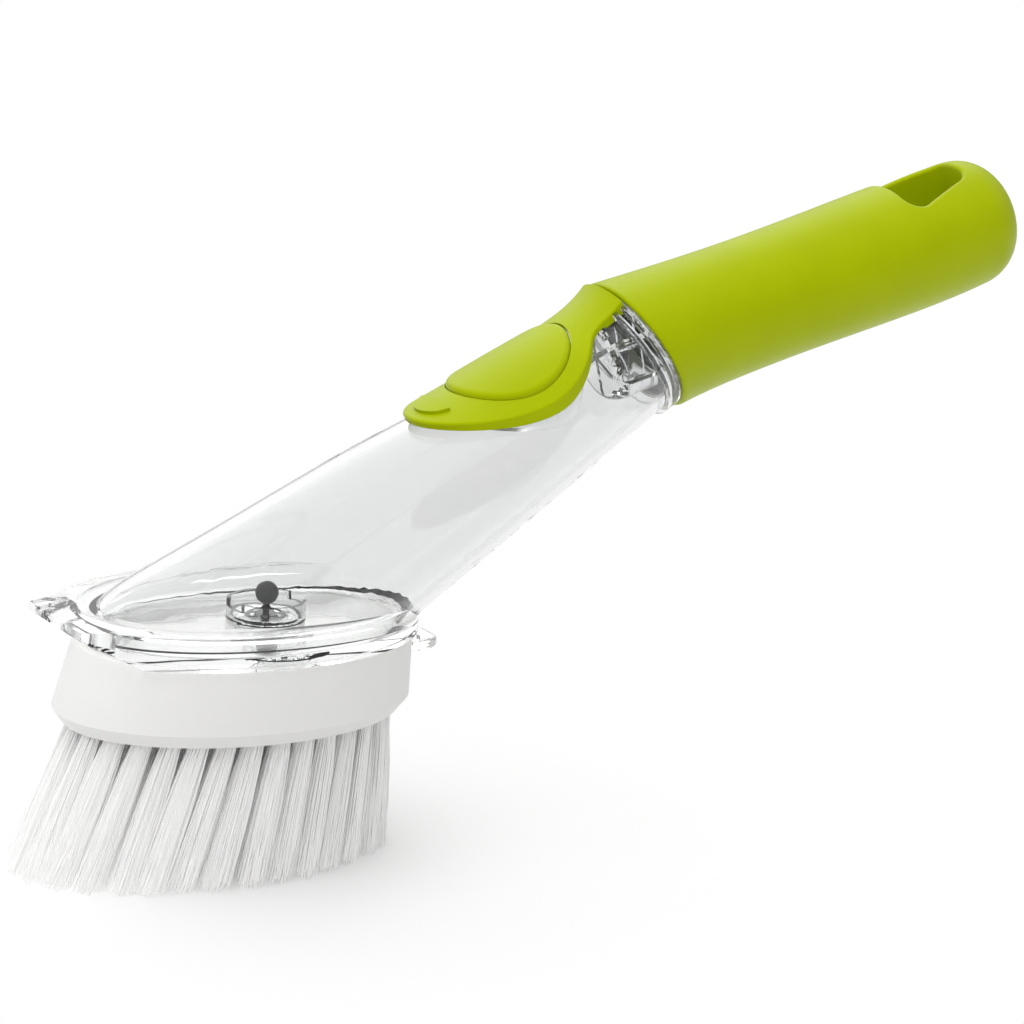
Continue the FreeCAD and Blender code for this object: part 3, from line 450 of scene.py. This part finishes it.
    # the lines get their thickness and their finish
    section = nodes.new("GeometryNodeCurvePrimitiveCircle")
    section.inputs["Resolution"].default_value = FILAMENT_SIDES
    link(tree, source.outputs["Filament Radius"], section.inputs["Radius"])
    skin = nodes.new("GeometryNodeCurveToMesh")
    skin.inputs["Fill Caps"].default_value = True
    link(tree, shape.outputs["Geometry"], skin.inputs["Curve"])
    link(tree, section.outputs["Curve"], skin.inputs["Profile Curve"])
    link(tree, recall("filament_girth", "FLOAT"), skin.inputs["Scale"])
    whole = nodes.new("GeometryNodeRealizeInstances")
    link(tree, skin.outputs["Mesh"], whole.inputs["Geometry"])
    coat = nodes.new("GeometryNodeSetMaterial")
    coat.inputs["Material"].default_value = material
    link(tree, whole.outputs["Geometry"], coat.inputs["Geometry"])
    link(tree, coat.outputs["Geometry"], target.inputs["Geometry"])
    return tree


def grow_bristles(name, count, seed, tree):
    """One ring's filaments as a plain mesh that stands for the ring's solids."""
    ends = tuft_ends(name)
    roots = bpy.data.meshes.new(name + "_roots")
    roots.from_pydata([root for root, tip in ends], [], [])
    tips = roots.attributes.new("tuft_tip", "FLOAT_VECTOR", "POINT")
    tips.data.foreach_set("vector", [part for root, tip in ends for part in tip])
    maker = put_in_scene(name + "_maker", roots)
    modifier = maker.modifiers.new("bundles", "NODES")
    modifier.node_group = tree
    sizes = {"Filaments": count, "Seed": seed, "Filament Radius": FILAMENT_RADIUS,
             "Root Spread": TUFT_ROOT_SPREAD, "Tip Spread": TUFT_TIP_SPREAD, "Lean": TUFT_LEAN,
             "Bow": FILAMENT_BOW / BOW_PEAK, "Uneven": FILAMENT_UNEVEN, "Core Radius": CORE_RADIUS,
             "Core Reach": CORE_REACH, "Front": CAD_BOX[0][0] + FILAMENT_RADIUS}
    for item in tree.interface.items_tree:
        if item.in_out == "INPUT" and item.name in sizes:
            modifier[item.identifier] = sizes[item.name]
    bpy.context.view_layer.update()
    grown = maker.evaluated_get(bpy.context.evaluated_depsgraph_get())
    mesh = bpy.data.meshes.new_from_object(grown)
    bpy.data.objects.remove(maker)
    mesh.name = name.replace("tufts", "bristles")
    mesh.shade_smooth()
    piece = put_in_scene(mesh.name, mesh)
    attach(piece, "brush")
    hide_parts(name)
    piece.visible_shadow = name in SHADOW_RINGS


def hinge_outline(name, along):
    """Top and sides of a piece's end face at a place along the lid, from one lower corner to the other."""
    places = []
    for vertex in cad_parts[name].data.vertices:
        away = vertex.co - LID_START
        if abs(away.dot(LID_RUN) - along) < FACE_BAND:
            places.append((vertex.co.y, away.dot(LID_RISE)))
    chain = []
    for place in sorted(set(places)):
        while len(chain) > 1 and turns_left(chain[-2], chain[-1], place):
            chain.pop()
        chain.append(place)
    side = max(places)[0]
    chain.append(min(place for place in places if place[0] > side - SIDE_BAND))
    return chain


def turns_left(first, second, third):
    """True where the way from the first point by the second to the third bends left or runs straight."""
    rise = (second[0] - first[0]) * (third[1] - first[1])
    fall = (second[1] - first[1]) * (third[0] - first[0])
    return rise >= fall


def even_steps(chain, count):
    """Points at even steps along a chain."""
    runs = [math.dist(first, second) for first, second in zip(chain, chain[1:])]
    total = sum(runs)
    points = []
    for number in range(count):
        left = total * number / (count - 1)
        step = 0
        while step < len(runs) - 1 and left > runs[step]:
            left -= runs[step]
            step += 1
        share = min(left / runs[step], 1.0)
        points.append(tuple(a + (b - a) * share for a, b in zip(chain[step], chain[step + 1])))
    return points


def add_strap_skin(material):
    """The strap's own skin across the hinge line, from the strap's end face to the lid's."""
    rows = []
    ends = [(along, even_steps(hinge_outline(name, along), SKIN_POINTS))
            for name, along in (("lid_strap", STRAP_END), ("fill_lid", LID_END))]
    for share in SKIN_ROWS:
        along = ends[0][0] + (ends[1][0] - ends[0][0]) * share
        row = []
        for first, second in zip(ends[0][1], ends[1][1]):
            across, up = (a + (b - a) * share for a, b in zip(first, second))
            row.append(LID_START + LID_RUN * along + LID_RISE * up + Vector((0, across, 0)))
        rows.append(row)
    faces = []
    for band in range(len(rows) - 1):
        for number in range(SKIN_POINTS - 1):
            corner = band * SKIN_POINTS + number
            faces.append((corner, corner + 1, corner + SKIN_POINTS + 1, corner + SKIN_POINTS))
    mesh = bpy.data.meshes.new("strap_skin")
    mesh.from_pydata([place for row in rows for place in row], [], faces)
    mesh.materials.append(material)
    mesh.shade_smooth()
    piece = put_in_scene("strap_skin", mesh)
    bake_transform(piece)


def add_camera():
    """Puts the camera where the picture was taken from."""
    turn, rise, roll = (math.radians(angle) for angle in (VIEW_TURN, VIEW_RISE, VIEW_ROLL))
    level = Vector((math.cos(turn), math.sin(turn), 0))
    ahead = Vector((-math.sin(turn) * math.cos(rise), math.cos(turn) * math.cos(rise), -math.sin(rise)))
    steep = level.cross(ahead)
    right = level * math.cos(roll) + steep * math.sin(roll)
    up = steep * math.cos(roll) - level * math.sin(roll)
    eye = VIEW_TARGET - ahead * VIEW_DISTANCE
    middle = FRAME_PIXELS / 2
    aim = ahead + right * ((middle - TARGET_PIXEL[0]) / PIXELS_PER_METRE)
    aim = (aim - up * ((middle - TARGET_PIXEL[1]) / PIXELS_PER_METRE)).normalized()
    right = (right - aim * right.dot(aim)).normalized()
    up = right.cross(aim)
    lens = bpy.data.cameras.new("picture_camera")
    lens.sensor_width = SENSOR_WIDTH
    lens.lens = PIXELS_PER_METRE * VIEW_DISTANCE * SENSOR_WIDTH / FRAME_PIXELS
    camera = put_in_scene("picture_camera", lens)
    camera.matrix_world = Matrix((right, up, -aim)).transposed().to_4x4()
    camera.location = eye
    bpy.context.scene.camera = camera


def seen_by_rays(tree):
    """One for rays that see the backdrop: from the camera, in a reflection or through clear plastic."""
    path = tree.nodes.new("ShaderNodeLightPath")
    first = tree.nodes.new("ShaderNodeMath")
    first.operation = "MAXIMUM"
    link(tree, path.outputs["Is Camera Ray"], first.inputs[0])
    link(tree, path.outputs["Is Glossy Ray"], first.inputs[1])
    second = tree.nodes.new("ShaderNodeMath")
    second.operation = "MAXIMUM"
    link(tree, first.outputs[0], second.inputs[0])
    link(tree, path.outputs["Is Transmission Ray"], second.inputs[1])
    return second.outputs[0]


def add_world():
    """White backdrop, seen darker overhead through clear plastic and brighter overhead in reflections."""
    world = bpy.data.worlds.new("studio")
    world.use_nodes = True
    bpy.context.scene.world = world
    tree = world.node_tree
    backdrop = tree.nodes["Background"]
    backdrop.inputs["Strength"].default_value = 1.0
    place = tree.nodes.new("ShaderNodeTexCoord")
    parts = tree.nodes.new("ShaderNodeSeparateXYZ")
    link(tree, place.outputs["Generated"], parts.inputs["Vector"])
    path = tree.nodes.new("ShaderNodeLightPath")
    levels = (("Is Glossy Ray", spread(tree, parts.outputs["Z"], *GLOSSY_SKY)),
              ("Is Transmission Ray", spread(tree, parts.outputs["Z"], *CLEAR_SKY)),
              ("Is Camera Ray", None))
    light = None
    for ray, level in levels:
        step = tree.nodes.new("ShaderNodeMix")
        step.inputs["A"].default_value = AMBIENT
        step.inputs["B"].default_value = 1.0
        link(tree, path.outputs[ray], step.inputs["Factor"])
        if light:
            link(tree, light, step.inputs["A"])
        if level:
            link(tree, level, step.inputs["B"])
        light = step.outputs["Result"]
    link(tree, light, backdrop.inputs["Color"])


def add_floor():
    """Pale floor that keeps the object's shadow and fades to the white backdrop further out."""
    mesh = bpy.data.meshes.new("floor")
    corners = [(x * FLOOR_REACH, y * FLOOR_REACH, FLOOR_LEVEL) for x, y in ((-1, -1), (1, -1), (1, 1), (-1, 1))]
    mesh.from_pydata(corners, [], [(0, 1, 2, 3)])
    floor = put_in_scene("floor", mesh)
    material, tree, shader = finish("pale_floor")
    shader.inputs["Base Color"].default_value = (*FLOOR_GREY, 1)
    shader.inputs["Roughness"].default_value = 0.6
    shader.inputs["Specular IOR Level"].default_value = 0.2
    shader.inputs["Emission Color"].default_value = (1, 1, 1, 1)
    seen = seen_by_rays(tree)
    link(tree, spread(tree, seen, 0.0, FLOOR_LIFT, 0.0, 1.0), shader.inputs["Emission Strength"])
    white = tree.nodes.new("ShaderNodeEmission")
    place = tree.nodes.new("ShaderNodeTexCoord")
    away = tree.nodes.new("ShaderNodeVectorMath")
    away.operation = "LENGTH"
    link(tree, place.outputs["Object"], away.inputs[0])
    fade = tree.nodes.new("ShaderNodeMath")
    fade.operation = "MULTIPLY"
    link(tree, spread(tree, away.outputs["Value"], 0.0, 1.0, *FLOOR_FADE), fade.inputs[0])
    link(tree, seen, fade.inputs[1])
    both = tree.nodes.new("ShaderNodeMixShader")
    link(tree, fade.outputs[0], both.inputs["Fac"])
    link(tree, shader.outputs["BSDF"], both.inputs[1])
    link(tree, white.outputs["Emission"], both.inputs[2])
    link(tree, both.outputs["Shader"], tree.nodes["Material Output"].inputs["Surface"])
    mesh.materials.append(material)


def add_softbox(name, strength, heading, in_reflections):
    """A wide, soft lamp far off, shining along its heading."""
    lamp = bpy.data.lights.new(name, "SUN")
    lamp.energy = strength
    lamp.angle = LAMP_SPREAD
    holder = put_in_scene(name, lamp)
    holder.rotation_euler = Vector(heading).to_track_quat("-Z", "Y").to_euler()
    holder.visible_glossy = in_reflections


LIME_FINISH = soft_lime()
TUBE_FINISH = clear_moulding("clear_plastic", 0.0, 0.03, TUBE_TINT, 25.0, 0.7)
HEAD_FINISH = clear_moulding("clear_head_plastic", 0.0, 0.03, HEAD_TINT, 5.0, 1.0)
SEAL_FINISH = clear_moulding("clear_silicone", 0.12, 0.25, SEAL_TINT, 25.0, 1.0, 0.85)
TUBE_NODES = ("reservoir_body",)
HEAD_NODES = ("head_tray", "valve_housing", "neck_plug", "release_latch")
SEAL_NODES = ("neck_seal", "port_seal")

dress(("grip", "lid_strap", "fill_lid", "pump_button"), LIME_FINISH)
dress(TUBE_NODES, TUBE_FINISH)
dress(HEAD_NODES, HEAD_FINISH)
dress(SEAL_NODES, SEAL_FINISH)
dress(("dispensing_valve", "plug_ring"), black_rubber())
dress(("brush_block",), white_moulding("warm_white_plastic", WHITE_BLOCK, WHITE_BLOCK_DEEP, 0.42))
dress(("handle_core",), white_moulding("core_plastic", CORE_DEEP, CORE, 0.5))
dress(("tuft_anchors",), wire_steel())
for node in TUBE_NODES + HEAD_NODES + SEAL_NODES:
    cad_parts[node].visible_shadow = False

BUNDLES = bristle_tree(nylon())
for number, (ring, filaments) in enumerate(TUFT_RINGS.items()):
    grow_bristles(ring, filaments, FIRST_SEED + SEED_STEP * number, BUNDLES)

add_strap_skin(LIME_FINISH)
add_camera()
add_world()
add_floor()
add_softbox("front_softbox", 1.85, (0.36, 0.22, -0.90), False)
add_softbox("back_softbox", 0.9, (-0.10, -0.75, -0.65), True)
bpy.context.scene.view_settings.view_transform = "Standard"
bpy.context.scene.cycles.max_bounces = 32
bpy.context.scene.cycles.diffuse_bounces = 12
bpy.context.scene.cycles.glossy_bounces = 24
bpy.context.scene.cycles.transmission_bounces = 32
